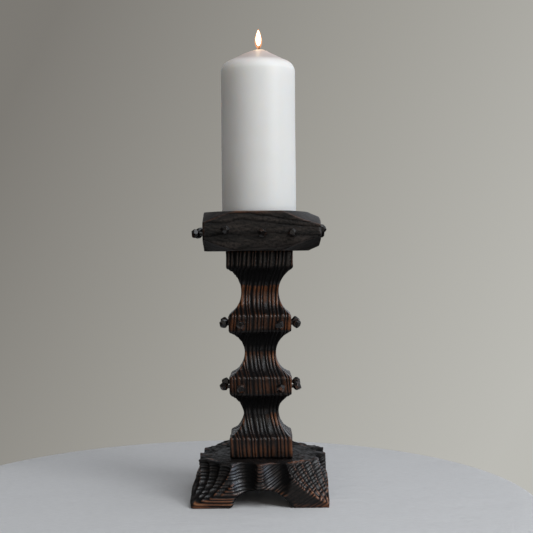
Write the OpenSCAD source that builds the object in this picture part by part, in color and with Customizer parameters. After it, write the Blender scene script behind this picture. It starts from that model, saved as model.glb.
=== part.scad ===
// Carved pine candlestick with whittled pegs, and the pillar candle on its spike.
// Millimetres, Z up. The origin is the middle of the base, on the surface the feet stand on.
// The front looks along -Y. The four sides are carved alike.

/* [Base] */
// Width of the square base across its feet
base_w = 120; // [114:1:132]
// Height of the base
base_h = 39; // [36:1:44]
// Width of each arch between two feet, at the floor
arch_w = 52; // [44:1:56]
// Height of each arch
arch_h = 15.5; // [12:0.5:17]
// Length that the sloping corners take off each side at the top
corner_cut = 40; // [34:1:44]
// Height of the upright edge left under each sloping corner
foot_edge_h = 4; // [3:0.5:8]
// Number of flutes down each sloping corner
flutes = 4; // [2:1:4]
// Depth of the flutes
flute_depth = 2.2; // [1:0.1:2.4]

/* [Scoops above each arch] */
// Half width of the narrow scoop
narrow_scoop_half_w = 10.8; // [9:0.1:11]
// Sideways place of the narrow scoop's middle
narrow_scoop_x = -18.6; // [-20:0.1:-16]
// Half width of the wide scoop
wide_scoop_half_w = 15; // [12:0.5:16]
// Sideways place of the wide scoop's middle
wide_scoop_x = 9.3; // [6:0.1:12]
// Depth of both scoops at the top of the base
scoop_depth = 6; // [4:0.5:7]
// How far the scoops lean out of the wood as they go down, in degrees
scoop_lean = 5; // [0:1:8]

/* [Column] */
// Width of the block under the pan
head_w = 62; // [58:1:66]
// Width of the two bands and the lowest block
post_w = 58; // [54:1:60]
// Height of the lowest block
foot_block_h = 18.6; // [15:0.1:24]
// Height of the lower neck
lower_neck_h = 39; // [34:0.5:44]
// Height of the lower band
lower_band_h = 17; // [13:0.5:20]
// Height of the middle neck
middle_neck_h = 41.5; // [36:0.5:46]
// Height of the upper band
upper_band_h = 15; // [13:0.5:20]
// Height of the upper neck
upper_neck_h = 43.4; // [38:0.1:48]
// Height of the block under the pan
head_block_h = 16.5; // [12:0.5:22]
// Width at the waist of the lower neck
lower_waist_w = 32.6; // [28:0.1:38]
// Width at the waist of the middle neck
middle_waist_w = 29.4; // [27:0.1:36]
// Width at the waist of the upper neck
upper_waist_w = 35.2; // [30:0.1:40]

/* [Pan] */
// Width of the square pan across its flat sides
pan_w = 108; // [104:1:118]
// Thickness of the pan
pan_h = 36; // [32:1:40]
// Radius of the rounding on the pan's four upright corners
pan_corner_r = 72; // [68:0.5:76]
// Radius of the flat circle left on the top and on the underside
pan_flat_r = 52; // [46:0.5:55]
// Height that the bevels take off at the upright corners, above and below
pan_bevel_h = 11.3; // [8:0.1:13]
// How round the bevels are, from 1 for a straight cone
pan_bevel_power = 1.2; // [1:0.05:1.6]

/* [Pegs] */
// Diameter of the round pin behind each head
peg_d = 3.4; // [3:0.1:4]
// Depth of each pin in the wood
peg_depth = 8; // [6:0.5:9]
// Distance from the wood to the middle of each head on the bands
band_peg_reach = 5; // [3.9:0.1:6]
// Distance from the wood to the middle of each head on the pan
pan_peg_reach = 4; // [3.9:0.1:5]
// Size of each whittled head across its flats
peg_head = 7; // [6:0.1:7.1]
// Distance of the band pegs from the middle of their side
band_peg_x = 18; // [14:0.5:19]
// Distance of the outer pan pegs from the middle of their side
pan_peg_x = 30; // [26:1:34]
// Sideways place of the middle peg on each side of the pan
pan_middle_peg_x = 3.5; // [-6:0.5:6]
// Distance of the pan pegs below the middle of the pan's thickness
pan_peg_drop = 2; // [0:0.5:4]
// How much higher the left peg on each side of the pan sits
pan_left_peg_rise = 3.5; // [0:0.5:5]
// Distance of the lower band's pegs below the middle of the band
lower_peg_drop = 1; // [0:0.5:3]

/* [Spike and screws] */
// Diameter of the iron spike
spike_d = 4; // [3.5:0.1:5]
// Height of the spike above the pan
spike_h = 28; // [20:1:34]
// Diameter of the spike's flat head, which sits in the underside of the pan
spike_head_d = 13; // [10:0.5:15]
// Thickness of the spike's flat head
spike_head_h = 2.4; // [1.5:0.1:3]
// Outer diameter of the wood screws
screw_d = 4; // [3.5:0.1:4.5]
// Length of the wood screws
screw_l = 50; // [44:1:52]
// Distance of each pair of screws from the middle
screw_x = 12; // [11:0.5:13]

/* [Candle] */
// Diameter of the pillar candle
candle_d = 70; // [60:1:80]
// Height at which the candle's side and sloping top would meet
candle_side_h = 139; // [100:1:200]
// Slope of the candle's top, in degrees
candle_slope = 27; // [15:1:35]
// Radius of the candle's rounded shoulder
candle_shoulder_r = 11; // [3:0.5:14]
// Radius of the burnt pool round the wick
pool_r = 7.5; // [5:0.5:12]
// Depth of the burnt pool
pool_depth = 2.5; // [1:0.5:5]
// Diameter of the wick
wick_d = 2; // [1.6:0.1:3]
// Height of the bare wick above the rim of the pool
wick_h = 5; // [4:0.5:10]
// Sideways lean of the bare wick's tip
wick_lean = 1.8; // [0:0.1:3]

/* [Hidden] */
$fn = 96;
eps = 0.1;
peg_fn = 32;

half = base_w / 2;
column_h = foot_block_h + lower_neck_h + lower_band_h + middle_neck_h
    + upper_band_h + upper_neck_h + head_block_h;
lower_neck_z = base_h + foot_block_h;
lower_band_z = lower_neck_z + lower_neck_h;
middle_neck_z = lower_band_z + lower_band_h;
upper_band_z = middle_neck_z + middle_neck_h;
upper_neck_z = upper_band_z + upper_band_h;
pan_z = base_h + column_h;
pan_top_z = pan_z + pan_h;
candle_rim_h = candle_side_h + (candle_d / 2 - pool_r) * tan(candle_slope);
pool_floor_r = 0.8 * pool_r;
pool_z = pan_top_z + candle_rim_h - pool_depth;

// Each neck: its lowest point, height, waist width, and the mean width of the blocks it joins
NECKS = [
    [lower_neck_z, lower_neck_h, lower_waist_w, post_w],
    [middle_neck_z, middle_neck_h, middle_waist_w, post_w],
    [upper_neck_z, upper_neck_h, upper_waist_w, (post_w + head_w) / 2],
];

// Room round the spike in the candle, and above its point
spike_room = 0.4;
spike_tip_d = 0.6;

// How far cuts run past the wood: straight ones, and slanted ones
past = 1;
slant_past = 10;

// Flutes on the corners: how much of their spacing each one fills, and how much closer they come
// together at the foot
flute_fill = 0.8;
flute_gather = 0.45;

screw_head_d = 2 * screw_d;
screw_head_h = screw_d / 2;
screw_tip_h = 1.5 * screw_d;
screw_pitch = 2;
screw_thread_depth = 0.5;
screw_slot_w = 1;
// Share of the screw's length that is plain shank
screw_shank = 0.4;
// How deep the screw heads are sunk, in the underside of the base and in the pan's top
base_screw_z = 19;
pan_screw_sink = 0.6;
pan_screw_z = pan_top_z - pan_screw_sink;

// Each peg's head is tilted and spun by hand, and its knife-cut edges are this share of its width apart
golden_angle = 137.5;
peg_tilt = 8;
peg_spin = 40;
peg_edge_share = 1.04;

// The bare wick is burnt thinner than the wick in the wax
burnt_wick_share = 0.84;

// Pegs: name, quarter turns from the front, sideways place, distance of the face, height, reach
SIDES = ["front", "right", "back", "left"];
HANDS = ["left", "right"];
band_face = post_w / 2;
pan_face = pan_w / 2;
lower_peg_z = lower_band_z + lower_band_h / 2 - lower_peg_drop;
upper_peg_z = upper_band_z + upper_band_h / 2;
pan_peg_z = pan_z + pan_h / 2 - pan_peg_drop;
PEGS = concat(
    [for (side = [0:3], hand = [0:1])
        [str("peg_lower_", SIDES[side], "_", HANDS[hand]), side,
            (2 * hand - 1) * band_peg_x, band_face, lower_peg_z, band_peg_reach]],
    [for (side = [0:3], hand = [0:1])
        [str("peg_upper_", SIDES[side], "_", HANDS[hand]), side,
            (2 * hand - 1) * band_peg_x, band_face, upper_peg_z, band_peg_reach]],
    [for (side = [0:3], place = [-1:1])
        [str("peg_pan_", SIDES[side], "_", place + 2), side,
            place * pan_peg_x + (place == 0 ? pan_middle_peg_x : 0), pan_face,
            pan_peg_z + (place == -1 ? pan_left_peg_rise : 0), pan_peg_reach]]
);

// Radius of a round cut that is depth deep over a chord
function cut_radius(chord, depth) = (chord * chord / 4 + depth * depth) / (2 * depth);

// A small turn that differs from peg to peg, as handwork does
function handwork(index, size) = size * sin(golden_angle * index);

// A round bar from p to q
module bar(p, q, r) {
    d = q - p;
    translate(p)
        rotate([0, acos(d.z / norm(d)), atan2(d.y, d.x)])
            cylinder(r = r, h = norm(d));
}

// ---- Base ----

// A tunnel along Y with a round roof
module arch_tunnel() {
    r = cut_radius(arch_w, arch_h);
    translate([0, half + past, arch_h - r])
        rotate([90, 0, 0])
            cylinder(r = r, h = base_w + 2 * past);
}

// A gouged scoop in the front face, centred at x, fading out towards the floor
module scoop(x, half_w) {
    r = cut_radius(2 * half_w, scoop_depth);
    translate([x, scoop_depth - half - r, base_h])
        rotate([-scoop_lean, 0, 0])
            translate([0, 0, -base_h - slant_past])
                cylinder(r = r, h = base_h + 2 * slant_past);
}

// The wood outside the sloping plane at the corner towards +X and -Y
module corner_slope() {
    rise = base_h - foot_edge_h;
    lean = atan(corner_cut / rise / sqrt(2));
    translate([half, -half, foot_edge_h])
        rotate([0, -lean, -45])
            translate([0, -base_w, -base_w])
                cube(2 * base_w);
}

// Flutes that run down the sloping corner and draw together towards the foot
module corner_flutes() {
    along = [1, 1, 0] / sqrt(2);
    foot = [half, -half, foot_edge_h];
    top_middle = [half - corner_cut / 2, corner_cut / 2 - half, base_h];
    down = (foot - top_middle) / norm(foot - top_middle);
    outward = cross(along, -down);
    spacing = corner_cut * sqrt(2) / (flutes + 0.5);
    r = cut_radius(spacing * flute_fill, flute_depth);
    for (i = [0:flutes - 1]) {
        place = (i - (flutes - 1) / 2) * spacing;
        start = top_middle + along * place + outward * (r - flute_depth / 3);
        end = foot - down * slant_past + along * place * flute_gather + outward * (r - flute_depth);
        bar(start - slant_past * (end - start) / norm(end - start), end, r);
    }
}

module screw_hole(x, z, up) {
    translate([x, 0, z])
        mirror([0, 0, up ? 0 : 1]) {
            cylinder(d = screw_d, h = screw_l);
            cylinder(d1 = screw_head_d, d2 = screw_d, h = screw_head_h);
            translate([0, 0, -base_h])
                cylinder(d = screw_head_d, h = base_h);
        }
}

module base() {
    color([0.17, 0.11, 0.08])
        difference() {
            translate([-half, -half, 0])
                cube([base_w, base_w, base_h]);
            for (side = [0:3])
                rotate([0, 0, 90 * side]) {
                    scoop(narrow_scoop_x, narrow_scoop_half_w);
                    scoop(wide_scoop_x, wide_scoop_half_w);
                    corner_slope();
                    corner_flutes();
                }
            for (turn = [0, 90])
                rotate([0, 0, turn])
                    arch_tunnel();
            for (x = [-screw_x, screw_x])
                screw_hole(x, base_screw_z, true);
        }
}

// ---- Column ----

// The round cut across the front of one neck
module cove(neck) {
    r = cut_radius(neck[1], (neck[3] - neck[2]) / 2);
    translate([-post_w, -neck[2] / 2 - r, neck[0] + neck[1] / 2])
        rotate([0, 90, 0])
            cylinder(r = r, h = 2 * post_w);
}

module peg_hole(peg) {
    rotate([0, 0, 90 * peg[1]])
        translate([peg[2], peg_depth - peg[3], peg[4]])
            rotate([90, 0, 0])
                cylinder(d = peg_d, h = peg_depth + past, $fn = peg_fn);
}

module column() {
    head_z = upper_neck_z + upper_neck_h / 2;
    color([0.2, 0.12, 0.08])
        difference() {
            union() {
                translate([-post_w / 2, -post_w / 2, base_h])
                    cube([post_w, post_w, head_z - base_h]);
                translate([-head_w / 2, -head_w / 2, head_z - eps])
                    cube([head_w, head_w, pan_z - head_z + eps]);
            }
            for (neck = NECKS, side = [0:3])
                rotate([0, 0, 90 * side])
                    cove(neck);
            for (peg = PEGS)
                if (peg[3] == band_face)
                    peg_hole(peg);
            for (x = [-screw_x, screw_x]) {
                screw_hole(x, base_screw_z, true);
                screw_hole(x, pan_screw_z, false);
            }
        }
}

// ---- Pan ----

// The turned outline that bevels the pan's corners, as on a hexagon nut
module pan_turning() {
    steps = 4;
    bevel = [for (i = [0:steps])
        [pan_flat_r + (pan_corner_r - pan_flat_r) * i / steps,
            pan_bevel_h * pow(i / steps, pan_bevel_power)]];
    rotate_extrude()
        polygon(concat(
            [[0, 0]],
            bevel,
            [for (i = [steps:-1:0]) [bevel[i].x, pan_h - bevel[i].y]],
            [[0, pan_h]]
        ));
}

module pan() {
    color([0.2, 0.14, 0.12])
        difference() {
            translate([0, 0, pan_z])
                intersection() {
                    translate([-pan_w / 2, -pan_w / 2, 0])
                        cube([pan_w, pan_w, pan_h]);
                    pan_turning();
                }
            for (peg = PEGS)
                if (peg[3] == pan_face)
                    peg_hole(peg);
            for (x = [-screw_x, screw_x])
                screw_hole(x, pan_screw_z, false);
            translate([0, 0, pan_z - past])
                cylinder(d = spike_d, h = pan_h + 2 * past);
            translate([0, 0, pan_z - past])
                cylinder(d = spike_head_d, h = spike_head_h + past);
        }
}

// ---- Iron spike and wood screws ----

module spike() {
    color([0.16, 0.16, 0.17])
        translate([0, 0, pan_z]) {
            cylinder(d = spike_head_d, h = spike_head_h);
            cylinder(d = spike_d, h = pan_h);
            translate([0, 0, pan_h])
                cylinder(d1 = spike_d, d2 = spike_tip_d, h = spike_h);
        }
}

// A slotted wood screw with its head at the bottom and its tip up
module wood_screw() {
    core_r = screw_d / 2 - screw_thread_depth;
    thread_z = screw_l * screw_shank;
    turns = floor((screw_l - screw_tip_h - thread_z) / screw_pitch);
    thread_top_z = thread_z + turns * screw_pitch;
    difference() {
        rotate_extrude()
            polygon(concat(
                [[0, 0], [screw_head_d / 2, 0], [screw_d / 2, screw_head_h], [screw_d / 2, thread_z]],
                [for (i = [0:turns - 1], crest = [0, 1])
                    [crest == 0 ? core_r : screw_d / 2,
                        thread_z + (i + (crest + 1) / 2) * screw_pitch]],
                [[core_r, thread_top_z + eps], [0, screw_l]]
            ));
        translate([-screw_head_d, -screw_slot_w / 2, -past])
            cube([2 * screw_head_d, screw_slot_w, past + screw_slot_w]);
    }
}

module base_screw(x) {
    color([0.55, 0.5, 0.4])
        translate([x, 0, base_screw_z])
            wood_screw();
}

module pan_screw(x) {
    color([0.55, 0.5, 0.4])
        translate([x, 0, pan_screw_z])
            mirror([0, 0, 1])
                wood_screw();
}

// ---- Pegs ----

// A whittled head with flat facets all round
module peg_head_shape() {
    corner_size = peg_head * peg_edge_share;
    intersection() {
        cube(peg_head, center = true);
        rotate([45, 0, 0])
            cube(corner_size, center = true);
        rotate([0, 45, 0])
            cube(corner_size, center = true);
        rotate([0, 0, 45])
            cube(corner_size, center = true);
    }
}

module peg(index) {
    place = PEGS[index];
    color([0.24, 0.13, 0.09])
        rotate([0, 0, 90 * place[1]])
            translate([place[2], -place[3], place[4]]) {
                translate([0, peg_depth, 0])
                    rotate([90, 0, 0])
                        cylinder(d = peg_d, h = peg_depth + place[5], $fn = peg_fn);
                translate([0, -place[5], 0])
                    rotate([for (i = [0:2]) handwork(index + i, i == 1 ? peg_spin : peg_tilt)])
                        peg_head_shape();
            }
}

// ---- Candle ----

module candle_wax() {
    r = candle_d / 2;
    // The shoulder's arc starts level with the side and ends along the sloping top
    turn_end = 90 - candle_slope;
    arc_z = candle_side_h - candle_shoulder_r * tan(turn_end / 2);
    arc_steps = 6;
    arc = [for (i = [0:arc_steps])
        let (turn = turn_end * i / arc_steps)
            [r - candle_shoulder_r * (1 - cos(turn)), arc_z + candle_shoulder_r * sin(turn)]];
    pool_floor_h = candle_rim_h - pool_depth;
    color([0.93, 0.92, 0.88])
        translate([0, 0, pan_top_z])
            difference() {
                rotate_extrude()
                    polygon(concat(
                        [[0, 0], [r, 0]],
                        arc,
                        [[pool_r, candle_rim_h], [pool_floor_r, pool_floor_h], [0, pool_floor_h]]
                    ));
                translate([0, 0, -past])
                    cylinder(d = wick_d, h = candle_rim_h + 2 * past);
                translate([0, 0, -past])
                    cylinder(r = spike_d / 2 + spike_room, h = spike_h + spike_room + past);
            }
}

// The wick runs up through the wax; the bare end is charred thinner and leans over a little
module wick() {
    low_z = pan_top_z + spike_h + 2 * spike_room;
    bare_r = burnt_wick_share * wick_d / 2;
    tip = [wick_lean, 0, pan_top_z + candle_rim_h + wick_h];
    color([0.2, 0.16, 0.13]) {
        translate([0, 0, low_z])
            cylinder(d = wick_d, h = pool_z - low_z);
        bar([0, 0, pool_z - wick_d / 4], tip, bare_r);
    }
}

base();
column();
pan();
spike();
base_screw(-screw_x);  // base_screw_left
base_screw(screw_x);  // base_screw_right
pan_screw(-screw_x);  // pan_screw_left
pan_screw(screw_x);  // pan_screw_right
candle_wax();
wick();
for (index = [0:len(PEGS) - 1])
    peg(index);
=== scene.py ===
"""Looks of the carved pine candlestick: burnt and brushed wood, whittled pegs and a lit wax candle.

Shapes are worked out in millimetres in the frame's own axes and turned into metres as each mesh is made.
Each carved block of wood is a field, negative inside the wood, and its growth rings are a second field.
Burning and brushing takes the soft wood out between the rings, so one rule gives every ridge and groove.
"""
import math

import bmesh
import bpy
import numpy as np
from mathutils import Matrix, Vector


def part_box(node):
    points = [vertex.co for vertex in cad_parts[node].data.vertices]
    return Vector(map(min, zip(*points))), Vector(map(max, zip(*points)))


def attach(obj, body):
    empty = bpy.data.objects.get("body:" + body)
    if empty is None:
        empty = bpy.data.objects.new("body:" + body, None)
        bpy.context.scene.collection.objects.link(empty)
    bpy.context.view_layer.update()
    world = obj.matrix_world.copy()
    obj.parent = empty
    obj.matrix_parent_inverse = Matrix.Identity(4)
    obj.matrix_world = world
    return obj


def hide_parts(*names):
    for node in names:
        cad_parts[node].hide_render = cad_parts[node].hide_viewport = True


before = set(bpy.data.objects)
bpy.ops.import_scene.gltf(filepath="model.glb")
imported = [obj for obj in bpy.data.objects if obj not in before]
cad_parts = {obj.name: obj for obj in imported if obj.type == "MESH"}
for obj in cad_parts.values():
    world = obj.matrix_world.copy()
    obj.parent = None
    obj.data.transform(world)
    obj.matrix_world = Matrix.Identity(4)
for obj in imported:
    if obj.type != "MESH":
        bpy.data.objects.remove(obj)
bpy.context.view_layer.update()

MM = 0.001
STICK, CANDLE = "candlestick", "candle"
SIDES = ("front", "right", "back", "left")
HANDS = ("left", "right")


def box_mm(node):
    """Lowest and highest corners of a CAD node, in millimetres."""
    return [np.array(corner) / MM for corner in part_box(node)]


# ---- Driving sizes, from the frame where a node's box gives them ----

BASE_LOW, BASE_HIGH = box_mm("base")
COLUMN_LOW, COLUMN_HIGH = box_mm("column")
PAN_LOW, PAN_HIGH = box_mm("pan")
WAX_LOW, WAX_HIGH = box_mm("candle_wax")
WICK_LOW, WICK_HIGH = box_mm("wick")
SPIKE_TOP = box_mm("spike")[1][2]

BASE_HALF = BASE_HIGH[0]
BASE_TOP = BASE_HIGH[2]
HEAD_HALF = COLUMN_HIGH[0]
POST_HALF = HEAD_HALF - 2.0
PAN_HALF = PAN_HIGH[0]
PAN_BOTTOM, PAN_TOP = PAN_LOW[2], PAN_HIGH[2]
WAX_R = WAX_HIGH[0]

# Each neck of the column: lowest point, height and half width at its waist
NECKS = ((57.6, 39.0, 16.3), (113.6, 41.5, 14.7), (170.1, 43.4, 17.6))
SCREW_X = 12.0
SCREW_HOLE_R = 4.1
BASE_SCREW_Z = 19.0


# ---- Shape helpers ----

def ripple(points, size, seed, waves=8):
    """Smooth noise of about -1 to 1 whose bumps have the given size: a sum of sine waves."""
    rng = np.random.default_rng(seed)
    directions = rng.normal(size=(waves, 3))
    directions /= np.linalg.norm(directions, axis=1)[:, None]
    wavelengths = rng.uniform(1.4, 3.0, waves)
    phases = rng.uniform(0, 2 * math.pi, waves)
    turns = (points / np.asarray(size)) @ (directions / wavelengths[:, None]).T
    return np.sin(2 * math.pi * turns + phases).sum(axis=1) / math.sqrt(waves)


def smooth_max(a, b, blend):
    """The larger of two fields, with the edge between them rounded over the blend length."""
    overlap = np.maximum(blend - np.abs(a - b), 0) / blend
    return np.maximum(a, b) + overlap * overlap * blend / 4


def smooth_step(low, high, values):
    t = np.clip((values - low) / (high - low), 0, 1)
    return t * t * (3 - 2 * t)


def cut_radius(chord, depth):
    """Radius of a round cut that is depth deep over a chord."""
    return (chord * chord / 4 + depth * depth) / (2 * depth)


def ridge(rings):
    """Height of the brushed grain, 0 in the groove between two rings and 1 on the crest."""
    return np.abs(np.sin(math.pi * rings)) ** 0.55


def uneven(depth, width):
    """Counts rings of about the given width along a depth into the wood, some wide and some narrow."""
    turns = 2 * math.pi * depth / width
    return depth / width + 0.16 * np.sin(turns / 3.3) + 0.11 * np.sin(turns / 1.9 + 1)


def around_edges(crossings):
    """Sums, for each grid cell, what its four edges along one axis hold; that axis comes first."""
    return crossings[:, :-1, :-1] + crossings[:, 1:, :-1] + crossings[:, :-1, 1:] + crossings[:, 1:, 1:]


def surface_net(field, low, high, cell):
    """Points and quads where field is zero: one point in each grid cell that the surface crosses."""
    axes = [np.arange(lo - 2.37 * c, hi + 3 * c, c) for lo, hi, c in zip(low, high, cell)]
    grid = np.stack(np.meshgrid(*axes, indexing="ij"), axis=-1)
    values = field(grid.reshape(-1, 3)).reshape(grid.shape[:3])
    shape = tuple(n - 1 for n in values.shape)
    weight = np.zeros(shape)
    place = np.zeros(shape + (3,))
    edges = []
    for axis in range(3):
        start = np.moveaxis(values, axis, 0)[:-1]
        end = np.moveaxis(values, axis, 0)[1:]
        crossed = (start < 0) != (end < 0)
        share = np.where(crossed, start / np.where(crossed, start - end, 1), 0)
        points = np.moveaxis(grid, axis, 0)[:-1].copy()
        points[..., axis] += share * cell[axis]
        weight += np.moveaxis(around_edges(crossed.astype(float)), 0, axis)
        place += np.moveaxis(around_edges(points * crossed[..., None]), 0, axis)
        edges.append((crossed, start < 0))
    active = weight > 0
    index = np.full(shape, -1)
    index[active] = np.arange(active.sum())
    quads = []
    for axis, (crossed, starts_inside) in enumerate(edges):
        cells = np.moveaxis(index, axis, 0)
        crossed = crossed[:, 1:-1, 1:-1]
        starts_inside = starts_inside[:, 1:-1, 1:-1][crossed]
        ring = [cells[:, :-1, :-1], cells[:, 1:, :-1], cells[:, 1:, 1:], cells[:, :-1, 1:]]
        faces = np.stack([corner[crossed] for corner in ring], axis=1)
        flip = starts_inside == (axis == 1)
        faces[flip] = faces[flip][:, ::-1]
        quads.append(faces)
    return place[active] / weight[active][:, None], np.concatenate(quads)


def slope_of(field, points, reach):
    """Gradient of a field at points, and how convex it is there, from samples a reach away."""
    gradient = np.zeros_like(points)
    total = -6 * field(points)
    for axis in range(3):
        step = np.zeros(3)
        step[axis] = reach
        ahead, behind = field(points + step), field(points - step)
        gradient[:, axis] = (ahead - behind) / (2 * reach)
        total += ahead + behind
    return gradient, total / (reach * reach)


def settle(field, points, longest_step, rounds=3):
    """Moves points onto the surface of the field."""
    for _ in range(rounds):
        gradient, _ = slope_of(field, points, 0.06)
        steepness = np.maximum((gradient * gradient).sum(axis=1), 0.05)
        step = gradient * (field(points) / steepness)[:, None]
        length = np.maximum(np.linalg.norm(step, axis=1), 1e-9)
        points = points - step * np.minimum(1, longest_step / length)[:, None]
    return points


def make_mesh(name, points, faces, attributes=None):
    """A smooth-shaded object from points in millimetres, with one float attribute per entry."""
    mesh = bpy.data.meshes.new(name)
    if isinstance(faces, np.ndarray):
        faces = faces.tolist()
    mesh.from_pydata((np.asarray(points) * MM).tolist(), [], faces)
    mesh.validate()
    mesh.polygons.foreach_set("use_smooth", [True] * len(mesh.polygons))
    for key, values in (attributes or {}).items():
        layer = mesh.attributes.new(key, "FLOAT", "POINT")
        layer.data.foreach_set("value", np.asarray(values, dtype=np.float32))
    mesh.update()
    piece = bpy.data.objects.new(name, mesh)
    bpy.context.scene.collection.objects.link(piece)
    return piece


def fit(piece, body, slot, material, *nodes):
    """Gives a piece its body and material, and hides the CAD nodes it stands for. The slot is not used."""
    piece.data.materials.append(material)
    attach(piece, body)
    if nodes:
        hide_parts(*nodes)


# ---- Carved blocks: shape, growth rings and rubbed places ----

def drilled(points, field, x, z_low, z_high):
    """Takes a screw-head hole at x out of a field."""
    hole = SCREW_HOLE_R - np.hypot(points[:, 0] - x, points[:, 1])
    hole = np.minimum(hole, np.minimum(points[:, 2] - z_low, z_high - points[:, 2]))
    return np.maximum(field, hole)


ARCH_HALF, ARCH_TOP = 25.5, 14.8
FOOT_EDGE = 4.0
# Scoops on each side: sideways place, half width and depth
SCOOPS = ((-15.9, 11.3, 10.0), (12.9, 12.9, 8.5))
# Height over which each scoop runs out of the wood
SCOOP_REACH = 28.0
BASE_TAPER = 0.6
BASE_SHIFT = 1.0
# How deep the scoops of the front, right, back and left sides are cut
SCOOP_SHARES = (1.0, 1.0, 0.35, 0.8)
# Corners, from the front right one round to the front left one: length cut off each side at the top, skew
# of the cut, depth and number of the flutes, depth of the hollow, and how far the top edge is rounded
CORNERS = (
    (42, 0.0, 2.3, 5, 2.0, 1.2),
    (36, -0.22, 3.4, 4, 2.0, 1.2),
    (31, 0.22, 2.3, 4, 2.0, 1.6),
    (33, -0.1, 4.0, 3, 6.0, 3.0),
)
# How far the foot of the front, right, back and left sides flares out
FLARES = (0.0, 0.6, 0.0, 5.5)
# Depth that brushing takes out between the base's rings, where nothing else is said
GRAIN_DEPTH = 0.55
# How far the back of the top swells up
BACK_SWELL = 3.4
# Room to carve in round each CAD box, and round the base's for its flare and the swell of its top
SPARE = np.array([1.0, 1.0, 1.0])
BASE_SPARE = np.array([7.0, 2.0, 4.0])
# Grid cells that the wood is carved at. The column's grain runs upwards, so its cells are tall.
BLOCK_CELL = (0.75, 0.75, 0.75)
COLUMN_CELL = (0.55, 0.55, 1.3)


def four_sides(x, y):
    """Front, right, back and left side, each as distance to the right and outward, seen from outside."""
    return ((x, -y), (y, x), (-x, y), (-y, -x))


def base_side(across, outward, z, share, flare):
    """One side of the base, seen from outside, with two scoops of a share of their full depth."""
    foot = flare * smooth_step(27, 11, z) - 0.9 * smooth_step(6, 0, z)
    face = outward - (BASE_HALF - BASE_TAPER * z / BASE_TOP + foot)
    drop = np.clip((BASE_TOP - z) / SCOOP_REACH, 0, 1)
    for x, half, full_depth in SCOOPS:
        depth = share * full_depth
        lean = depth * 1.1 * (1 - np.sqrt(1 - drop * drop))
        r = cut_radius(2 * half, depth)
        scoop = r - np.hypot(across - x, outward - (BASE_HALF - BASE_TAPER - depth + r + lean))
        face = smooth_max(face, scoop, 2.2)
    return face


def sloping_corner(across, diagonal, z, cut, skew, depth, count, hollow):
    """A hollowed slope from the top down to the foot, with flutes that draw together as they go down."""
    rise = BASE_TOP - FOOT_EDGE
    lean = math.atan(cut / rise / math.sqrt(2))
    up = np.clip((z - FOOT_EDGE) / rise, 0, 1)
    spacing = cut * math.sqrt(2) / (count + 0.3)
    fan = across / (0.4 + 0.6 * up) / spacing + count / 2
    groove = np.abs(np.sin(math.pi * fan)) ** 0.9
    cut_in = depth * groove * smooth_step(0.0, 0.22, up) * (1 - 0.4 * smooth_step(0.85, 1.0, up))
    slope = (diagonal + skew * across * up) * math.cos(lean) + (z - FOOT_EDGE) * math.sin(lean)
    return slope + hollow * np.sin(math.pi * up) + cut_in


def base_shape(points):
    x, y, z = points.T
    chiselled = 0.34 * ripple(points, (4.5, 3.6, 5), 16) + 0.2 * ripple(points, (2.2, 1.8, 3), 17)
    droop = 0.0009 * np.maximum(-x - 20, 0) * np.maximum(-y - 30, 0)
    swell = BACK_SWELL * smooth_step(30, 50, y) * smooth_step(60, 38, np.abs(x))
    field = smooth_max(z - BASE_TOP + 0.3 + droop - swell + chiselled, -z, 0.5)
    x = x - BASE_SHIFT
    for (across, outward), share, flare in zip(four_sides(x, y), SCOOP_SHARES, FLARES):
        field = smooth_max(field, base_side(across, outward, z, share, flare), 0.8)
    corners = ((x, -y), (x, y), (-x, y), (-x, -y))
    for (a, b), (*cuts, edge) in zip(corners, CORNERS):
        across = (a - b) / math.sqrt(2)
        diagonal = (a + b) / math.sqrt(2) - BASE_HALF * math.sqrt(2)
        field = smooth_max(field, sloping_corner(across, diagonal, z, *cuts), edge)
    field = field + 0.3 * ripple(points, 14, 11) * smooth_step(0.5, 6, z)
    for across in (x + BASE_SHIFT, y):
        side_power = np.where(across < 0, 2.9, 1.9)
        opening = np.abs(across / ARCH_HALF) ** side_power + np.abs(z / ARCH_TOP) ** 2
        arch = (1 - np.maximum(opening, 1e-6) ** 0.5) * ARCH_TOP
        field = smooth_max(field, arch, 3.6)
    return field


def base_rings(points):
    x, y, z = points.T
    dip = 0.6 * smooth_step(-6, 24, x) * (x - 4)
    level = z - dip + 1.0 * ripple(points, (40, 26, 26), 21)
    return uneven(np.hypot(y + 25, level + 70), 2.85)


def base_plain(points):
    """How plain the wood is: 1 on the chiselled top, high on the facet under each right-hand ridge."""
    x, y, z = points.T
    share = smooth_step(BASE_TOP - 2.6, BASE_TOP - 1.2, z)
    for across, outward in four_sides(x, y):
        under_ridge = smooth_step(28, 25, (across - 20) * 0.6 + z)
        facet = smooth_step(19, 24, across) * under_ridge * smooth_step(44, 50, outward)
        share = np.maximum(share, 0.75 * facet)
    return share


def base_brushed(points):
    """How deep the grain is brushed: deepest on the fluted right corners and the left feet."""
    x, y, z = points.T
    depth = np.full(len(points), GRAIN_DEPTH)
    for across, outward in four_sides(x, y):
        near = smooth_step(34, 44, outward)
        fluted = smooth_step(19, 26, across) * smooth_step(25, 29, (across - 20) * 0.6 + z)
        foot = smooth_step(-18, -26, across) * smooth_step(19, 14, z)
        gouged = smooth_step(-24, -30, across) * smooth_step(15, 20, z)
        brushed = GRAIN_DEPTH + near * (0.55 * fluted + 0.6 * foot)
        depth = np.maximum(depth, brushed) - 0.42 * near * gouged
    return depth


def base_field(points):
    shape = base_shape(points)
    z = points[:, 2]
    skin = smooth_step(-6, -1, shape) * (1 - base_plain(points))
    grain = (1 - ridge(base_rings(points))) * (0.8 + 0.2 * ripple(points, 16, 31))
    field = shape + base_brushed(points) * skin * grain
    field = np.maximum(field, -z)
    for x in (-SCREW_X, SCREW_X):
        field = drilled(points, field, x, -1, BASE_SCREW_Z)
    return field


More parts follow.
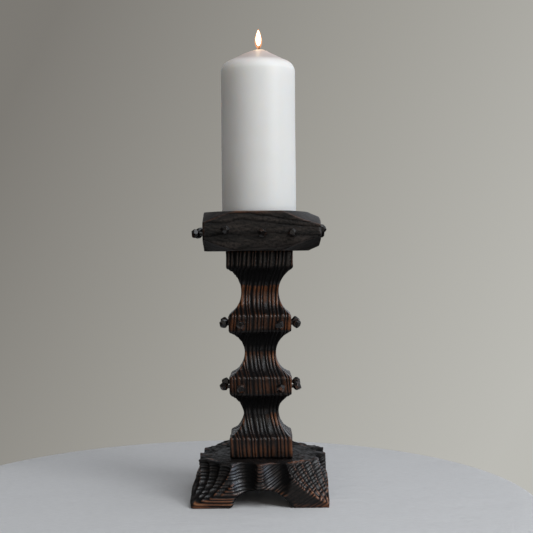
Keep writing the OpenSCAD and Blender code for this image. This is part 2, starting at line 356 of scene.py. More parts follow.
def column_shape(points):
    x, y, z = points.T
    head_z = NECKS[2][0] + NECKS[2][1] / 2
    half = np.where(z > head_z, HEAD_HALF, POST_HALF)
    sway = 0.3 * ripple(points, 17, 12)
    ax, ay = np.abs(x), np.abs(y)
    sides = []
    for reach in (ax, ay):
        side = reach - half
        for low, height, waist in NECKS:
            block = POST_HALF if low < NECKS[2][0] else (POST_HALF + HEAD_HALF) / 2
            r = cut_radius(height, block - waist)
            cove = r - np.hypot(reach - waist - r, z - low - height / 2)
            side = smooth_max(side, cove, 1.6)
        sides.append(side)
    return smooth_max(sides[0], sides[1], 1.6) + sway


def column_rings(points):
    x, y, z = points.T
    lean = 3.5 * np.cos(2 * math.pi * (z - 134) / 226)
    wave = 0.7 * ripple(points, (24, 24, 60), 22) + 0.25 * ripple(points, (9, 9, 16), 25)
    return uneven(np.hypot(x + lean + wave + 190, y + 75), 3.55)


def column_plain(points):
    """The faces of the two bands and the lowest block are worn level, so their grooves are less dark."""
    reach = np.abs(points[:, :2]).max(axis=1)
    on_block = smooth_step(POST_HALF - 2.5, POST_HALF - 1.0, reach)
    return 0.5 * on_block * (points[:, 2] < NECKS[2][0])


def column_field(points):
    shape = column_shape(points)
    skin = smooth_step(-6, -1, shape)
    grain = (1 - ridge(column_rings(points))) * (0.8 + 0.2 * ripple(points, 14, 32))
    field = shape + 0.95 * skin * grain
    return np.maximum(field, np.maximum(points[:, 2] - COLUMN_HIGH[2], COLUMN_LOW[2] - points[:, 2]))


PAN_FLAT_R, PAN_CORNER_R = 56.0, 75.7
PAN_BEVEL = 12.5
PAN_SHIFT, PAN_SKIN = 2.6, 1.3
PAN_WIDER = 0.85


def pan_parts(points):
    """The pan's upright sides, and its bevels with the flats that they run out to."""
    x, y, z = points.T
    r = np.hypot(x, y)
    flat_r = PAN_FLAT_R - 10.0 * smooth_step(20, 50, x)
    bevel = PAN_BEVEL * np.clip((r - flat_r) / (PAN_CORNER_R - flat_r), 0, 1.2)
    roughness = 0.05 * ripple(points, (12, 10, 6), 14) * smooth_step(36, 52, r)
    top = (z - PAN_TOP + bevel) * 0.88 + roughness
    bottom = (PAN_BOTTOM + bevel - z) * 0.88 + roughness
    chopped = 0.14 * ripple(points, (17, 17, 9), 13) + 0.05 * ripple(points, (2.6, 2.6, 1.4), 15)
    sides = smooth_max(np.abs(x - PAN_SHIFT) - PAN_WIDER, np.abs(y), 2.0) - PAN_HALF + PAN_SKIN + chopped
    return sides, smooth_max(top, bottom, 1.0)


def pan_rings(points):
    x, y, z = points.T
    level = z + 3.2 * ripple(points, (40, 40, 22), 23) + 0.7 * ripple(points, (9, 9, 7), 24)
    return uneven(np.hypot(y - 12, level - 150), 7.5)


def pan_plain(points):
    """The bevels are planed smooth, and only cracks show on the sides."""
    sides, bevels = pan_parts(points)
    return 1 - 0.35 * smooth_step(-0.8, 0.4, sides - bevels)


def pan_field(points):
    sides, bevels = pan_parts(points)
    on_side = smooth_step(-0.8, 0.4, sides - bevels)
    shape = smooth_max(sides, bevels, 0.6)
    cracks = (1 - ridge(pan_rings(points))) ** 5 * np.maximum(0.6 + 0.8 * ripple(points, (30, 30, 9), 33), 0)
    field = shape + 1.1 * on_side * smooth_step(-5, -1, shape) * cracks
    field = np.maximum(field, np.maximum(points[:, 2] - PAN_TOP, PAN_BOTTOM - points[:, 2]))
    for x in (-SCREW_X, SCREW_X):
        field = drilled(points, field, x, PAN_TOP - 2, PAN_TOP + 1)
    return field


# Rubbed places, as lines between two points with a width and a strength, on the front of each block. Below
# zero a place is painted shade, pushed to black char where the base's front-left corner and the right-hand
# halves of its scoops fall in shade. They repeat on all four sides, unless quarter turns from the front name
# the sides.
BASE_WEAR_AND_SHADE = (
    ((-56, -61, 2), (-28, -61, 4), 4.6, 1.9),
    ((-46, -61, 11), (-30, -61, 16), 3.2, 0.5),
    ((38, -60, 19), (60, -60, 5), 1.3, 2.4),
    ((38, -56, 24), (56, -56, 10), 4.0, 0.35),
    ((-3, -57, 24), (-1, -55, 38), 3.0, 0.3),
    # Painted shade: black char on the front-left corner and in the right-hand halves of the two scoops.
    ((-60, -58, 14), (-42, -42, 38), 13.0, -1.1, 0),
    ((-11, -52, 40), (-10, -54, 20), 5.2, -2.2),
    ((21, -53, 40), (21, -56, 24), 5.0, -2.0),
    ((15, -60, 39), (37, -38, 39), 1.6, 1.5),
    ((30, -60, 2), (58, -60, 2), 2.0, 0.5),
)
# Painted highlight: places on the base, given in the same way, where a silvery grey is painted on the scoop
# walls that face the light and on the front-left corner's flutes
BASE_PAINTED_SHEEN = (
    ((-24, -56, 38), (-21, -57, 21), 4.4, 1.5),
    ((4, -56, 36), (10, -56, 23), 4.2, 0.8),
    ((-52, -50, 18), (-41, -43, 38), 3.0, 0.5, 0),
)
COLUMN_WEAR_AND_HIGHLIGHT = (
    ((-29, -29, 48), (29, -29, 48), 8.0, 0.32),
    ((-29, -29, 105), (29, -29, 105), 7.0, 0.3),
    ((-29, -29, 162), (29, -29, 162), 6.0, 0.35),
    ((-12, -17, 191), (17, -17, 191), 7.0, 2.4),
    # Painted highlight: brown on the right-hand edge of the top neck's waist, where the light from the right
    # falls.
    ((14, -17, 192), (18, -19, 185), 4.5, 2.2),
    ((-12, -15, 134), (14, -15, 134), 4.0, 0.3),
    # Painted highlight: brown on the right-hand edges of the two lower waists.
    ((12, -15, 131), (16, -17, 126), 3.5, 0.7),
    ((10, -16, 76), (15, -18, 70), 3.5, 0.6),
)
PAN_RUBBED = (
    ((-20, -54, 264), (20, -54, 264), 2.0, 0.35),
    ((-10, -54, 231), (40, -54, 236), 2.0, 0.3),
)


def rubbed(points, places):
    """Sum of the places' strengths, each fading away from its line; the places give rubbed wear, painted
    shade and painted highlight.
    """
    total = np.zeros(len(points))
    for start, end, width, strength, *sides in places:
        for turn in sides or range(4):
            a, b = (Matrix.Rotation(turn * math.pi / 2, 3, "Z") @ Vector(p) for p in (start, end))
            a, along = np.array(a), np.array(b - a)
            share = np.clip(((points - a) @ along) / (along @ along), 0, 1)
            away = np.linalg.norm(points - a - share[:, None] * along, axis=1)
            total += strength * np.exp(-((away / width) ** 2))
    return total


def carve(name, field, rings, plain, places, low, high, cell, painted_sheen=()):
    """A carved block of wood, with its ring count, how plain it is, how far it is rubbed or painted with
    shade, and its painted silvery highlight.
    """
    points, quads = surface_net(field, low, high, cell)
    points = settle(field, points, 0.3)
    _, convex = slope_of(field, points, 0.9)
    gradient, broad = slope_of(field, points, 2.2)
    facing_down = -gradient[:, 2] / np.maximum(np.linalg.norm(gradient, axis=1), 0.05)
    smooth = plain(points)
    wear_and_painted_light = np.clip(0.3 * convex + 1.0 * broad, -1, 1) * 0.5 + rubbed(points, places)
    # Painted shade: surfaces facing down are pushed towards black char and lose their wax coat.
    wear_and_painted_light -= 1.3 * smooth_step(0.0, 0.45, facing_down) * (1 - smooth)
    layers = {"rings": rings(points), "wear_and_painted_light": wear_and_painted_light, "plain": smooth, "painted_sheen": rubbed(points, painted_sheen)}
    return make_mesh(name, points, quads, layers)


# ---- Materials ----

def new_material(name):
    material = bpy.data.materials.new(name)
    material.use_nodes = True
    tree = material.node_tree
    return material, tree, tree.nodes["Principled BSDF"]


class Nodes:
    """Short ways to add shader nodes to one tree."""

    def __init__(self, tree):
        self.tree = tree

    def add(self, kind, **settings):
        node = self.tree.nodes.new(kind)
        for key, value in settings.items():
            setattr(node, key, value)
        return node

    def link(self, source, target):
        self.tree.links.new(source, target)

    def attribute(self, name):
        return self.add("ShaderNodeAttribute", attribute_name=name).outputs["Fac"]

    def position(self, scale):
        """Object coordinates stretched by a scale for each axis."""
        coordinates = self.add("ShaderNodeTexCoord").outputs["Object"]
        mapping = self.add("ShaderNodeMapping")
        mapping.inputs["Scale"].default_value = scale
        self.link(coordinates, mapping.inputs["Vector"])
        return mapping.outputs["Vector"]

    def noise(self, vector, scale, detail=4.0, roughness=0.55):
        node = self.add("ShaderNodeTexNoise")
        self.link(vector, node.inputs["Vector"])
        node.inputs["Scale"].default_value = scale
        node.inputs["Detail"].default_value = detail
        node.inputs["Roughness"].default_value = roughness
        return node.outputs["Fac"]

    def math(self, operation, a, b=None, clamp=False):
        node = self.add("ShaderNodeMath", operation=operation, use_clamp=clamp)
        for socket, value in zip(node.inputs, (a, b)):
            if isinstance(value, (int, float)):
                socket.default_value = value
            elif value is not None:
                self.link(value, socket)
        return node.outputs[0]

    def ramp(self, value, stops):
        """A colour ramp; stops are (place, grey or (r, g, b))."""
        node = self.add("ShaderNodeValToRGB")
        self.link(value, node.inputs[0])
        while len(node.color_ramp.elements) < len(stops):
            node.color_ramp.elements.new(1.0)
        for element, (place, colour) in zip(node.color_ramp.elements, stops):
            element.position = place
            rgb = (colour,) * 3 if isinstance(colour, (int, float)) else colour
            element.color = (*rgb, 1)
        return node.outputs["Color"]

    def mix(self, share, a, b, blend="MIX"):
        node = self.add("ShaderNodeMix", data_type="RGBA", blend_type=blend)
        for socket, value in ((node.inputs[0], share), (node.inputs[6], a), (node.inputs[7], b)):
            if isinstance(value, tuple):
                socket.default_value = (*value, 1)
            elif isinstance(value, (int, float)):
                socket.default_value = value
            else:
                self.link(value, socket)
        return node.outputs[2]

    def bump(self, height, strength, distance, normal=None):
        node = self.add("ShaderNodeBump")
        node.inputs["Strength"].default_value = strength
        node.inputs["Distance"].default_value = distance
        self.link(height, node.inputs["Height"])
        if normal is not None:
            self.link(normal, node.inputs["Normal"])
        return node.outputs["Normal"]


CHAR = (0.0028, 0.0026, 0.0028)
DARK_BROWN = (0.018, 0.0122, 0.0102)
WEAR_AND_HIGHLIGHT_BROWN = (0.125, 0.041, 0.0135)
PALE_BROWN = (0.32, 0.145, 0.066)
PAN_BROWN = (0.046, 0.035, 0.03)
PAINTED_SHEEN_SILVER = (0.115, 0.126, 0.15)
WOOD_SPECULAR = 0.1
WAX_COAT, WAX_COAT_ROUGHNESS = 1.0, 0.2
# How far plain wood counts as a ring's crest
PLAIN_CREST = 0.5
# How far, in metres, the painted glow and the painted shade of the top reach into the wax
GLOW_REACH = 0.04


def burnt_pine(name, fibre_scale, brown, dark=DARK_BROWN):
    """Burnt and brushed pine: black grooves, brown where the ridges and edges are rubbed and, on the
    column's waists, as painted highlight. Black char is painted shade where the wood faces down or a place
    says so, and a silvery highlight is painted in listed places.
    """
    material, tree, shader = new_material(name)
    n = Nodes(tree)
    rings = n.attribute("rings")
    wear_and_painted_light = n.attribute("wear_and_painted_light")
    wave = n.math("ABSOLUTE", n.math("SINE", n.math("MULTIPLY", rings, math.pi)))
    plain = n.attribute("plain")
    crest = n.math("POWER", wave, 1.8)
    crest = n.math("ADD", crest, n.math("MULTIPLY", plain, n.math("SUBTRACT", PLAIN_CREST, crest)))
    along_grain = n.position(fibre_scale)
    fibres = n.noise(along_grain, 900, 3.0, 0.7)
    streaks = n.noise(along_grain, 260, 4.0, 0.6)
    patches = n.noise(n.position((1, 1, 1)), 45, 4.0, 0.6)
    soot = n.noise(n.position((1, 1, 1)), 420, 5.0, 0.65)
    patchy = n.math("ADD", n.math("MULTIPLY", patches, 2.2), -0.42, clamp=True)
    # Brown on rubbed crests and edges; on the right-hand edges of the column's waists it is painted
    # highlight.
    worn = n.math("MULTIPLY", n.math("ADD", wear_and_painted_light, brown, clamp=True), patchy, clamp=True)
    worn = n.math("MULTIPLY", worn, n.math("MULTIPLY", crest, n.math("ADD", streaks, 0.55)), clamp=True)
    wood = n.mix(crest, CHAR, dark)
    wood = n.mix(n.ramp(streaks, ((0.42, 0.0), (0.62, 1.0))), wood, CHAR)
    wood = n.mix(n.ramp(soot, ((0.4, 0.8), (0.52, 0.0))), wood, CHAR)
    # Painted highlight: a silvery grey on the crests where the listed places say.
    wood = n.mix(n.math("MULTIPLY", n.attribute("painted_sheen"), crest, clamp=True), wood, PAINTED_SHEEN_SILVER)
    # Painted shade: black char where the value is far below zero, on surfaces facing down and at places
    # listed with a negative strength.
    painted_shade = n.math("ADD", n.math("MULTIPLY", wear_and_painted_light, -1.5), -0.9, clamp=True)
    wood = n.mix(painted_shade, wood, CHAR)
    wood = n.mix(n.ramp(worn, ((0.08, 0.0), (0.5, 1.0))), wood, WEAR_AND_HIGHLIGHT_BROWN)
    wood = n.mix(n.ramp(worn, ((0.55, 0.0), (1.0, 0.9))), wood, PALE_BROWN)
    n.link(wood, shader.inputs["Base Color"])
    sooty_rough = n.math("ADD", n.math("MULTIPLY", soot, 0.3), 0.5)
    n.link(n.math("ADD", n.math("MULTIPLY", crest, -0.2), sooty_rough), shader.inputs["Roughness"])
    shader.inputs["Specular IOR Level"].default_value = WOOD_SPECULAR
    polish = n.math("ADD", n.math("ADD", wear_and_painted_light, 1.0), n.math("MULTIPLY", plain, -0.6), clamp=True)
    waxed = n.math("MULTIPLY", polish, n.math("MULTIPLY", crest, WAX_COAT))
    n.link(waxed, shader.inputs["Coat Weight"])
    shader.inputs["Coat Roughness"].default_value = WAX_COAT_ROUGHNESS
    normal = n.bump(n.math("POWER", wave, 0.7), 0.35, 0.0005)
    normal = n.bump(fibres, 0.4, 0.0002, normal)
    normal = n.bump(soot, 0.6, 0.0006, normal)
    n.link(normal, shader.inputs["Normal"])
    n.link(normal, shader.inputs["Coat Normal"])
    return material


def whittled_wood(name):
    """The pegs: dark knife-cut facets, some of them rubbed brown."""
    material, tree, shader = new_material(name)
    n = Nodes(tree)
    wear_and_painted_light = n.attribute("wear_and_painted_light")
    patches = n.noise(n.position((1, 1, 1)), 300, 3.0, 0.5)
    soot = n.noise(n.position((1, 1, 1)), 1500, 4.0, 0.6)
    patchy = n.math("ADD", n.math("MULTIPLY", patches, 2.0), -0.35, clamp=True)
    worn = n.math("MULTIPLY", wear_and_painted_light, patchy, clamp=True)
    wood = n.mix(n.ramp(soot, ((0.35, 0.0), (0.65, 0.45))), CHAR, DARK_BROWN)
    wood = n.mix(n.ramp(worn, ((0.25, 0.0), (0.9, 1.0))), wood, WEAR_AND_HIGHLIGHT_BROWN)
    n.link(wood, shader.inputs["Base Color"])
    n.link(n.math("ADD", n.math("MULTIPLY", soot, 0.25), 0.14), shader.inputs["Roughness"])
    shader.inputs["Specular IOR Level"].default_value = 0.5
    n.link(n.bump(soot, 0.3, 0.0002), shader.inputs["Normal"])
    return material


def iron(name, colour, rough, metal):
    material, tree, shader = new_material(name)
    n = Nodes(tree)
    grime = n.noise(n.position((1, 1, 1)), 700, 5.0, 0.6)
    tone = n.mix(grime, tuple(0.6 * c for c in colour), colour)
    n.link(tone, shader.inputs["Base Color"])
    n.link(n.math("ADD", n.math("MULTIPLY", grime, 0.3), rough), shader.inputs["Roughness"])
    n.link(n.bump(grime, 0.3, 0.0002), shader.inputs["Normal"])
    shader.inputs["Metallic"].default_value = metal
    return material


def wax(name, flame_place):
    """Satin wax, with painted light: an emitted orange glow near the flame, a faint grey glow over the rest,
    and a darker top as painted shade.
    """
    material, tree, shader = new_material(name)
    n = Nodes(tree)
    cloud = n.noise(n.position((1, 1, 1)), 45, 3.0, 0.5)
    fine = n.noise(n.position((1, 1, 1)), 900, 3.0, 0.6)
    cool = n.mix(cloud, (0.86, 0.855, 0.84), (0.82, 0.81, 0.785))
    shader.inputs["Subsurface Weight"].default_value = 0.6
    shader.inputs["Subsurface Radius"].default_value = (0.026, 0.023, 0.02)
    shader.inputs["Subsurface Scale"].default_value = 1.0
    n.link(n.math("ADD", n.math("MULTIPLY", fine, 0.15), 0.36), shader.inputs["Roughness"])
    n.link(n.bump(fine, 0.12, 0.0002), shader.inputs["Normal"])
    distance = n.add("ShaderNodeVectorMath", operation="DISTANCE")
    n.link(n.add("ShaderNodeTexCoord").outputs["Object"], distance.inputs[0])
    distance.inputs[1].default_value = flame_place
    share = n.math("MULTIPLY", distance.outputs["Value"], 1 / GLOW_REACH)
    # Painted shade: the top of the candle, near the flame, is given a darker wax colour.
    painted_top_shade = n.ramp(share, ((0.72, 1.0), (0.98, 0.0)))
    n.link(n.mix(painted_top_shade, cool, (0.47, 0.42, 0.4)), shader.inputs["Base Color"])
    # Painted light: an orange glow near the flame, and a faint grey glow over the rest of the candle.
    glow = n.ramp(share, (
        (0.0, (1.2, 1.0, 0.5)), (0.16, (1.2, 0.8, 0.34)), (0.27, (0.3, 0.13, 0.06)),
        (0.55, (0.09, 0.03, 0.01)), (1.0, (0.1, 0.1, 0.1))))
    n.link(glow, shader.inputs["Emission Color"])
    shader.inputs["Emission Strength"].default_value = 0.45
    return material


def charred_wick(name):
    material, tree, shader = new_material(name)
    n = Nodes(tree)
    braid = n.noise(n.position((1, 1, 0.5)), 2500, 2.0, 0.5)
    n.link(n.mix(braid, (0.01, 0.006, 0.005), (0.12, 0.035, 0.015)), shader.inputs["Base Color"])
    shader.inputs["Roughness"].default_value = 0.9
    n.link(n.bump(braid, 0.8, 0.0003), shader.inputs["Normal"])
    return material


def flame_light(name, colour, strength, alpha=1.0):
    material, tree, shader = new_material(name)
    shader.inputs["Base Color"].default_value = (0, 0, 0, 1)
    shader.inputs["Emission Color"].default_value = (*colour, 1)
    shader.inputs["Emission Strength"].default_value = strength
    shader.inputs["Alpha"].default_value = alpha
    shader.inputs["Specular IOR Level"].default_value = 0.0
    return material


# ---- Whittled pegs ----

PEG_SHANK_R = 1.7
PEG_HEAD_R = 4.0


def whittled_head(rng):
    """A block cut down by knife strokes all round, with its edges just broken."""
    head = bmesh.new()
    bmesh.ops.create_cube(head, size=3 * PEG_HEAD_R)
    for tilt, count in ((12, 1), (55, 5), (93, 6), (135, 5), (180, 1)):
        start = rng.uniform(0, 360)
        for k in range(count):
            turn = math.radians(start + (k + rng.uniform(-0.25, 0.25)) * 360 / count)
            away = math.radians(tilt + rng.uniform(-9, 9))
            level = math.sin(away)
            normal = Vector((level * math.cos(turn), level * math.sin(turn), math.cos(away)))
            everything = head.verts[:] + head.edges[:] + head.faces[:]
            cut = bmesh.ops.bisect_plane(head, geom=everything, plane_no=normal, clear_outer=True,
                                         plane_co=normal * PEG_HEAD_R * rng.uniform(0.82, 1.0))
            rim = [e for e in cut["geom_cut"] if isinstance(e, bmesh.types.BMEdge)]
            if rim:
                bmesh.ops.edgeloop_fill(head, edges=rim)
    bmesh.ops.bevel(head, geom=head.edges[:], offset=0.22, segments=2, profile=0.5, affect="EDGES")
    return head


def whittled_peg(node, side, seed, material):
    """One peg: a round shank and a knife-cut head, standing out of its side of the wood."""
    low, high = box_mm(node)
    axis, outward = (0, 1) if side in ("left", "right") else (1, 0)
    sign = 1 if side in ("right", "back") else -1
    centre = (low + high) / 2
    head_half = (high - low)[2] / 2
    centre[axis] = (high if sign > 0 else low)[axis] - sign * head_half
    rng = np.random.default_rng(seed)
    peg = whittled_head(rng)
    length = (high - low)[axis] - head_half
    shank = bmesh.ops.create_cone(peg, cap_ends=True, segments=24, radius1=PEG_SHANK_R, radius2=PEG_SHANK_R,
                                  depth=length)
    bmesh.ops.translate(peg, verts=shank["verts"], vec=(0, 0, -length / 2))
    direction = Vector((sign, 0, 0) if axis == 0 else (0, sign, 0))
    turn = direction.to_track_quat("Z", "Y").to_matrix().to_4x4()
    peg.transform(Matrix.Scale(MM, 4) @ Matrix.Translation(Vector(centre)) @ turn)
    mesh = bpy.data.meshes.new(node.replace("peg", "whittled_peg"))
    peg.to_mesh(mesh)
    peg.free()
    wear_and_painted_light = mesh.attributes.new("wear_and_painted_light", "FLOAT", "FACE")
    wear = 0.55 if "pan" in node else 1.0
    wear_and_painted_light.data.foreach_set("value", (wear * rng.uniform(0, 1, len(mesh.polygons)) ** 3).astype(np.float32))
    piece = bpy.data.objects.new(mesh.name, mesh)
    bpy.context.scene.collection.objects.link(piece)
    fit(piece, STICK, "whittled_pegs", material, node)


# ---- Candle ----

CANDLE_SLOPE = math.radians(27)
SHOULDER_R = 11.0
POOL_R, POOL_DEPTH = 7.5, 2.5
SPIKE_HOLE_R = 2.4
CANDLE_SEGMENTS = 144


def lathe(name, profile, segments, wobble=None):
    """A closed solid turned from (radius, height) points that start and end on the axis."""
    spin = np.linspace(0, 2 * math.pi, segments, endpoint=False)
    rings = np.array(profile[1:-1])
    points = [(0, 0, profile[0][1])]
    for radius, height in rings:
        ring = np.stack([radius * np.cos(spin), radius * np.sin(spin), np.full(segments, height)], axis=1)
        points.extend(ring.tolist())
    points.append((0, 0, profile[-1][1]))
    last = len(points) - 1
    faces = [(0, 1 + (j + 1) % segments, 1 + j) for j in range(segments)]
    for i in range(len(rings) - 1):
        a, b = 1 + i * segments, 1 + (i + 1) * segments
        faces += [(a + j, a + (j + 1) % segments, b + (j + 1) % segments, b + j) for j in range(segments)]
    a = 1 + (len(rings) - 1) * segments
    faces += [(a + j, a + (j + 1) % segments, last) for j in range(segments)]
    points = np.array(points)
    if wobble is not None:
        points = wobble(points)
    return make_mesh(name, points, faces)


def candle_profile():
    """Hole for the spike, flat bottom, straight side, rounded shoulder, sloping top and burnt pool."""
    bottom = WAX_LOW[2]
    rim_z = WAX_HIGH[2]
    corner_z = rim_z - (WAX_R - POOL_R) * math.tan(CANDLE_SLOPE)
    turn_end = math.pi / 2 - CANDLE_SLOPE
    arc_z = corner_z - SHOULDER_R * math.tan(turn_end / 2)
    hole_top = SPIKE_TOP + 0.4
    profile = [(0, hole_top), (SPIKE_HOLE_R, hole_top), (SPIKE_HOLE_R, bottom), (WAX_R - 1.5, bottom)]
    profile += [(WAX_R - 1.5 + 1.4 * math.sin(t), bottom + 1.4 - 1.4 * math.cos(t))
                for t in np.linspace(0.3, math.pi / 2, 5)]
    profile += [(WAX_R - 0.1, z) for z in np.linspace(bottom + 6, arc_z - 4, 24)]
    for t in np.linspace(0, turn_end, 14):
        profile.append((WAX_R - 0.1 - SHOULDER_R * (1 - math.cos(t)), arc_z + SHOULDER_R * math.sin(t)))
    last_r, last_z = profile[-1]
    for share in np.linspace(0.12, 0.9, 10):
        profile.append((last_r + (POOL_R - last_r) * share, last_z + (rim_z - last_z) * share - 0.25))
    lip = 1.3
    profile += [(POOL_R - lip + lip * math.cos(t), rim_z - lip + lip * math.sin(t) - 0.15)
                for t in np.linspace(0.6, math.pi * 0.9, 8)]
    floor_z = rim_z - POOL_DEPTH
    profile += [(r, floor_z + 0.9 * (r / POOL_R) ** 2) for r in (5.2, 4.0, 2.8, 1.6)]
    profile.append((0, floor_z))
    return profile


def soft_wax(points):
    """Small unevenness of a poured candle, and a burnt rim that isn't quite level."""
    out = points.copy()
    r = np.hypot(points[:, 0], points[:, 1])
    swell = 1 + 0.0016 * ripple(points, 30, 41)
    out[:, :2] *= swell[:, None]
    near_rim = smooth_step(16, 7, r) * smooth_step(WAX_HIGH[2] - 14, WAX_HIGH[2] - 3, points[:, 2])
    out[:, 2] -= near_rim * (0.35 + 0.35 * ripple(points, 9, 42))
    return out


def swept_wick(name):
    """The bare wick: a tapering braid that leans over and curls at its tip."""
    floor_z = WAX_HIGH[2] - POOL_DEPTH
    tip = np.array([(WICK_LOW[0] + WICK_HIGH[0]) / 2 + 1.2, 0, WICK_HIGH[2] - 0.9])
    start = np.array([0, 0, floor_z - 2.0])
    rows, segments = 22, 14
    points, faces = [], []
    for i in range(rows):
        t = i / (rows - 1)
        middle = start + (tip - start) * t
        middle[0] = start[0] + (tip[0] - start[0]) * t ** 1.6
        radius = (0.95 - 0.25 * t) * (1 if i < rows - 1 else 0.45)
        for j in range(segments):
            turn = 2 * math.pi * j / segments
            strand = 1 + 0.1 * math.cos(3 * turn + 9 * t)
            points.append(middle + radius * strand * np.array([math.cos(turn), math.sin(turn), 0]))
    for i in range(rows - 1):
        for j in range(segments):
            a, b = i * segments, (i + 1) * segments
            faces.append((a + j, a + (j + 1) % segments, b + (j + 1) % segments, b + j))
    faces.append(tuple(reversed(range(segments))))
    faces.append(tuple((rows - 1) * segments + j for j in range(segments)))
    return make_mesh(name, points, faces)


FLAME_HEIGHT, FLAME_R = 18.0, 2.6


def teardrop(name, height, radius, start_z, x):
    """A flame shell: round below and drawn to a point above."""
    profile = [(0, 0)]
    for t in np.linspace(0.02, 0.985, 40):
        profile.append((radius * 1.05 * math.sin(math.pi * t ** 0.8) ** 0.75 * (1 - 0.25 * t), t * height))
    profile.append((0, height))
    piece = lathe(name, [(r, z + start_z) for r, z in profile], 40)
    piece.data.transform(Matrix.Translation((x * MM, 0, 0)))
    return piece


# ---- Set: table top, wall tone, lights and camera ----

TABLE_HALF = (0.296, 0.312)
TABLE_CENTRE = (-0.040, -0.020)
TABLE_DROP = 0.05


def cloth_table():
    """A pale oval floor to stand on, its edge rolled over."""
    roll = 6.0
    reach = TABLE_HALF[1] / MM
    profile = [(0, 0)] + [(reach * share, 0) for share in (0.3, 0.6, 0.9)]
    profile += [(reach - roll + roll * math.sin(t), -roll + roll * math.cos(t))
                for t in np.linspace(0, math.pi / 2, 8)]
    profile += [(reach, -TABLE_DROP / MM), (0, -TABLE_DROP / MM)]
    table = lathe("floor", profile[::-1], 256)
    table.data.transform(Matrix.Scale(TABLE_HALF[0] / TABLE_HALF[1], 4, (1, 0, 0)))
    table.location = (*TABLE_CENTRE, 0)
    material, tree, shader = new_material("pale_cloth")
    n = Nodes(tree)
    weave = n.noise(n.position((1, 1, 1)), 1400, 3.0, 0.6)
    slub = n.noise(n.position((1, 5, 1)), 130, 4.0, 0.6)
    crease = n.noise(n.position((1, 2.5, 1)), 14, 3.0, 0.5)
    n.link(n.mix(slub, (0.57, 0.565, 0.57), (0.72, 0.715, 0.72)), shader.inputs["Base Color"])
    shader.inputs["Roughness"].default_value = 0.95
    normal = n.bump(crease, 0.35, 0.006)
    n.link(n.bump(n.math("ADD", weave, slub), 0.7, 0.0009, normal), shader.inputs["Normal"])
    table.data.materials.append(material)


def studio_world():
    """A warm grey wall tone behind, brighter to the right, and a soft even fill."""
    world = bpy.data.worlds.new("studio")
    bpy.context.scene.world = world
    world.use_nodes = True
    tree = world.node_tree
    n = Nodes(tree)
    background = tree.nodes["Background"]
    direction = n.add("ShaderNodeTexCoord").outputs["Generated"]
    split = n.add("ShaderNodeSeparateXYZ")
    n.link(direction, split.inputs[0])
    x, y, z = split.outputs
    rise = n.math("ADD", n.math("MULTIPLY", z, -0.9), 0.5)
    across = n.math("ADD", n.math("MULTIPLY", x, 1.6), rise, clamp=True)
    wall = n.ramp(across, ((0.0, (0.2, 0.19, 0.172)), (0.5, (0.35, 0.34, 0.31)), (1.0, (0.5, 0.495, 0.46))))
    depth = n.math("ADD", n.math("MULTIPLY", y, 0.35), 0.4)
    room = n.math("ADD", n.math("MULTIPLY", x, 0.45), depth, clamp=True)
    fill = n.ramp(room, ((0.0, (0.085, 0.078, 0.07)), (0.5, (0.19, 0.19, 0.188)), (1.0, (0.72, 0.76, 0.82))))
    fill = n.mix(n.ramp(n.math("ADD", z, 0.5), ((0.4, 0.0), (0.5, 1.0))), (0.012, 0.011, 0.01), fill)
    seen = n.add("ShaderNodeLightPath").outputs["Is Camera Ray"]
    n.link(n.mix(seen, fill, wall), background.inputs["Color"])
    background.inputs["Strength"].default_value = 1.0


# Each lamp: name, place, what it is aimed at, width and height in metres, watts and colour
LAMPS = (
    ("window", (1.35, -1.15, 0.95), (0, 0, 0.15), (0.8, 1.0), 15.5, (0.95, 0.98, 1.0)),
    ("room", (-0.3, -1.9, 0.7), (0, 0, 0.25), (1.4, 1.2), 3.5, (1.0, 0.94, 0.86)),
    ("sky", (0.35, -0.55, 1.5), (0, 0, 0.2), (1.0, 1.4), 12, (0.9, 0.95, 1.0)),
)


def area_light(name, place, aim, size, power, colour):
    light = bpy.data.lights.new(name, "AREA")
    light.shape = "RECTANGLE"
    light.size, light.size_y = size
    light.energy = power
    light.color = colour
    lamp = bpy.data.objects.new(name, light)
    lamp.location = place
    lamp.rotation_euler = (Vector(aim) - Vector(place)).to_track_quat("-Z", "Y").to_euler()
    bpy.context.scene.collection.objects.link(lamp)


FOCAL_PER_WIDTH = 1.97
SENSOR = 36.0
CAMERA_DISTANCE, CAMERA_HEIGHT = 0.9936, 0.2266
CAMERA_SIDE = 0.0065
CAMERA_PITCH = math.radians(0.655)
CAMERA_ROLL = math.radians(-0.535)


def camera():
    data = bpy.data.cameras.new("camera")
    data.sensor_width = SENSOR
    data.lens = FOCAL_PER_WIDTH * SENSOR
    data.clip_start = 0.05
    eye = bpy.data.objects.new("camera", data)
    eye.location = (CAMERA_SIDE, -CAMERA_DISTANCE, CAMERA_HEIGHT)
    level = Matrix.Rotation(math.pi / 2 - CAMERA_PITCH, 3, "X")
    roll = Matrix.Rotation(CAMERA_ROLL, 3, "Z")
    eye.rotation_euler = (level @ roll).to_euler()
    bpy.context.scene.collection.objects.link(eye)
    bpy.context.scene.camera = eye


# ---- Build ----

camera()
studio_world()
for lamp in LAMPS:
    area_light(*lamp)
cloth_table()
bpy.context.scene.view_settings.view_transform = "Standard"

pine_flat = burnt_pine("burnt_pine_base", (0.12, 1, 1), 0.04)
pine_post = burnt_pine("burnt_pine_column", (1, 1, 0.1), 0.05)
pine_pan = burnt_pine("burnt_pine_pan", (0.15, 1, 1), 0.03, PAN_BROWN)

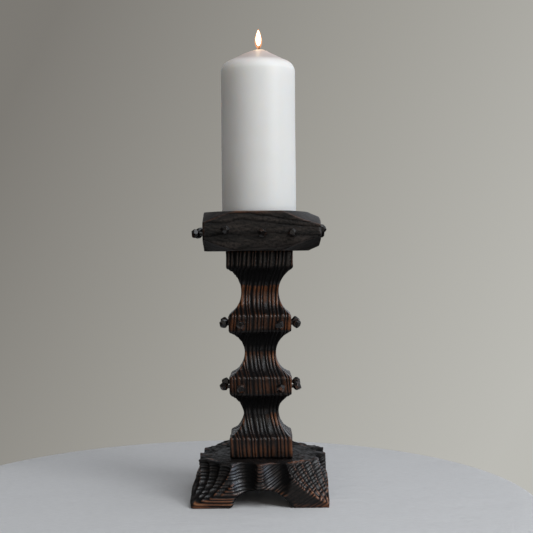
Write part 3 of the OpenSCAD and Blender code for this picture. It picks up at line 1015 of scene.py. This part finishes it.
base = carve("carved_base", base_field, base_rings, base_plain, BASE_WEAR_AND_SHADE,
             BASE_LOW - BASE_SPARE, BASE_HIGH + BASE_SPARE, BLOCK_CELL, BASE_PAINTED_SHEEN)
fit(base, STICK, "charred_pine", pine_flat, "base")
column = carve("carved_column", column_field, column_rings, column_plain, COLUMN_WEAR_AND_HIGHLIGHT,
               COLUMN_LOW - SPARE, COLUMN_HIGH + SPARE, COLUMN_CELL)
fit(column, STICK, "charred_pine", pine_post, "column")
pan = carve("carved_pan", pan_field, pan_rings, pan_plain, PAN_RUBBED,
            PAN_LOW - SPARE, PAN_HIGH + SPARE, BLOCK_CELL)
fit(pan, STICK, "charred_pine", pine_pan, "pan")

pegs = [(f"peg_{band}_{side}_{hand}", side)
        for band in ("lower", "upper") for side in SIDES for hand in HANDS]
pegs += [(f"peg_pan_{side}_{place}", side) for side in SIDES for place in (1, 2, 3)]
peg_wood = whittled_wood("whittled_peg_wood")
for seed, (node, side) in enumerate(pegs):
    whittled_peg(node, side, 100 + seed, peg_wood)

flame_x = (WICK_LOW[0] + WICK_HIGH[0]) / 2
flame_z = WICK_HIGH[2] - 3.3
glow_place = (0, 0, (WAX_HIGH[2] - 1.0) * MM)
candle = lathe("candle", candle_profile(), CANDLE_SEGMENTS, soft_wax)
fit(candle, CANDLE, "candle_wax", wax("wax", glow_place), "candle_wax")
wick = swept_wick("burnt_wick")
fit(wick, CANDLE, "wick", charred_wick("charred_cotton"), "wick")
core = teardrop("flame_core", FLAME_HEIGHT - 3.2, FLAME_R, flame_z + 2.8, flame_x)
fit(core, CANDLE, "flame", flame_light("flame_core", (1.0, 0.86, 0.6), 7.0))
glow = teardrop("flame_glow", FLAME_HEIGHT + 1.0, FLAME_R + 1.1, flame_z - 0.3, flame_x)
fit(glow, CANDLE, "flame", flame_light("flame_glow", (1.0, 0.36, 0.12), 1.3, 0.35))

metal_looks = {
    "spike": iron("black_iron", (0.06, 0.058, 0.055), 0.4, 0.9),
    "screws": iron("plated_steel", (0.55, 0.5, 0.4), 0.25, 1.0),
}
for node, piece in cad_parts.items():
    if node == "spike" or "screw" in node:
        look = metal_looks["spike" if node == "spike" else "screws"]
        piece.data.materials.clear()
        piece.data.materials.append(look)
